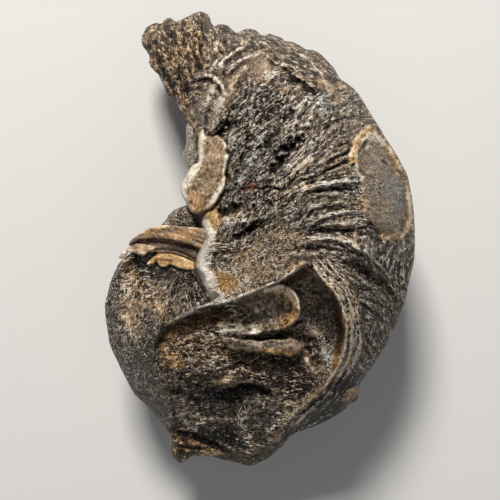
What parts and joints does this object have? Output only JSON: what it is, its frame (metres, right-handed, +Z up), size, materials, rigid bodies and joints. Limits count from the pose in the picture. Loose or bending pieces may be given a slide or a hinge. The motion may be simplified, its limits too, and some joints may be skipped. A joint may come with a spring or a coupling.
{
  "type": "fossil bivalve shell",
  "caption": "Old fossil oyster shell with a curled C-shaped outline, stepped layers, folded flank and an open, rock-filled hollow, lying on its side on a flat rest.",
  "frame": {"origin": "centre of the bounding box at the level that the shell rests on", "axes": "+Y along the long axis towards the narrow tip, +X towards the folded flank, +Z up out of the exposed side"},
  "size_m": [0.047, 0.073, 0.039],
  "materials": {
    "fossil_shell": "satin, weathered brown-black with honey and blue-grey patches"
  },
  "bodies": {
    "root": {"fossil_shell": "fossil_shell"}
  },
  "joints": []
}
